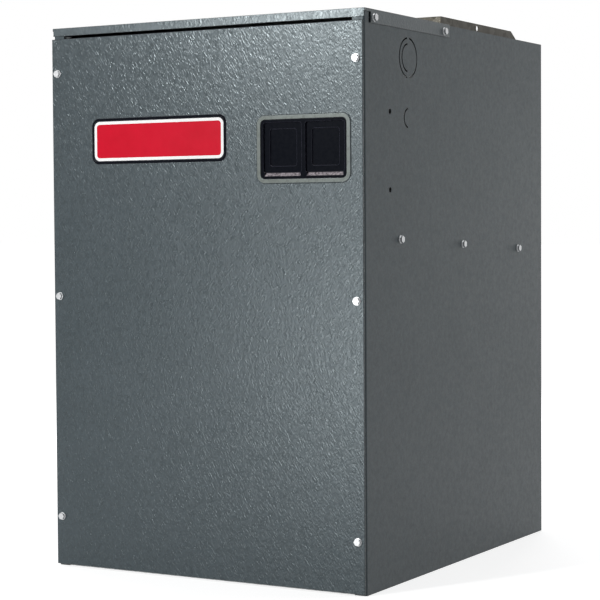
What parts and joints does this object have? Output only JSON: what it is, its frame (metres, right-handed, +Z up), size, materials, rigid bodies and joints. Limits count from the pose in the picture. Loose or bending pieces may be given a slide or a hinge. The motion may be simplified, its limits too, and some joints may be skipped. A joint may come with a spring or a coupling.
{
  "type": "modular blower",
  "caption": "Upright sheet-steel air-handler blower cabinet with a screwed front door, a breaker window, a collared top outlet and a forward-curved fan on a deck inside.",
  "frame": {"origin": "middle of the footprint, on the floor", "axes": "+X to the viewer's right as the door is faced, +Y to the back, +Z up"},
  "size_m": [0.4542, 0.5418, 0.6953],
  "materials": {
    "cabinet_paint": "satin, fine grain",
    "galvanised_sheet": "spangled zinc",
    "zinc_fastener": "bright zinc",
    "wheel_steel": "galvanised",
    "bright_steel": "ground",
    "plate_enamel": "satin",
    "black_plastic": "fine grain",
    "lining_board": "foil-faced glass wool",
    "foam_gasket": "closed-cell foam",
    "black_rubber": "matte",
    "motor_paint": "satin black",
    "mount_steel": "zinc",
    "core_iron": "varnished laminations",
    "copper": "enamelled wire",
    "can_aluminium": "satin",
    "tin_tabs": "tinned",
    "coil_wrap": "taped",
    "green_board": "solder mask",
    "white_nylon": "matte",
    "relay_case": "glossy",
    "lead_sleeve": "woven sleeve"
  },
  "bodies": {
    "cabinet": {"base_frame": "galvanised_sheet", "blower_deck": "galvanised_sheet", "board_standoffs": "white_nylon", "board_tabs": "tin_tabs", "cabinet_wrapper": "cabinet_paint", "capacitor_strap": "galvanised_sheet", "capacitor_tabs": "tin_tabs", "control_leads": "lead_sleeve", "cover_screws": "zinc_fastener", "deck_eyelet": "black_rubber", "deck_rail_left": "galvanised_sheet", "deck_rail_right": "galvanised_sheet", "deck_screws": "zinc_fastener", "discharge_frame": "galvanised_sheet", "fan_relay": "relay_case", "heater_blank_plate": "galvanised_sheet", "heater_screws": "zinc_fastener", "housing_screws": "zinc_fastener", "housing_side_left": "galvanised_sheet", "housing_side_right": "galvanised_sheet", "lining_back": "lining_board", "lining_left": "lining_board", "lining_right": "lining_board", "motor_bearings": "bright_steel", "motor_bell_front": "motor_paint", "motor_bell_rear": "motor_paint", "motor_harness": "lead_sleeve", "motor_mount": "mount_steel", "motor_shell": "motor_paint", "motor_stator": "core_iron", "motor_windings": "copper", "mount_bolts": "zinc_fastener", "mount_grommets": "black_rubber", "plenum_partition": "galvanised_sheet", "relay_board": "green_board", "run_capacitor": "can_aluminium", "scroll_wrap": "galvanised_sheet", "terminal_screws": "zinc_fastener", "terminal_strip": "black_plastic", "top_cover": "cabinet_paint", "transformer_coil": "coil_wrap", "transformer_core": "core_iron", "transformer_foot": "galvanised_sheet"},
    "fan": {"blower_wheel": "wheel_steel", "wheel_hub": "bright_steel", "hub_set_screw": "zinc_fastener", "motor_rotor": "core_iron", "motor_shaft": "bright_steel"},
    "door": {"access_door": "cabinet_paint", "door_screws": "zinc_fastener", "door_gasket": "foam_gasket", "door_lining": "lining_board", "name_plate": "plate_enamel", "breaker_bezel": "black_plastic"},
    "blank_left": {"breaker_blank_left": "black_plastic"},
    "blank_right": {"breaker_blank_right": "black_plastic"}
  },
  "joints": [
    {"name": "wheel_spin", "type": "hinge", "parent": "cabinet", "child": "fan", "pos_m": [0, 0.025, 0.239], "axis": [1, 0, 0], "continuous": true},
    {"name": "door_pull", "type": "slide", "parent": "cabinet", "child": "door", "axis": [0, -1, 0], "range_m": [0, 0.3]},
    {"name": "blank_left_pull", "type": "slide", "parent": "door", "child": "blank_left", "axis": [0, -1, 0], "range_m": [0, 0.03]},
    {"name": "blank_right_pull", "type": "slide", "parent": "door", "child": "blank_right", "axis": [0, -1, 0], "range_m": [0, 0.03]}
  ]
}
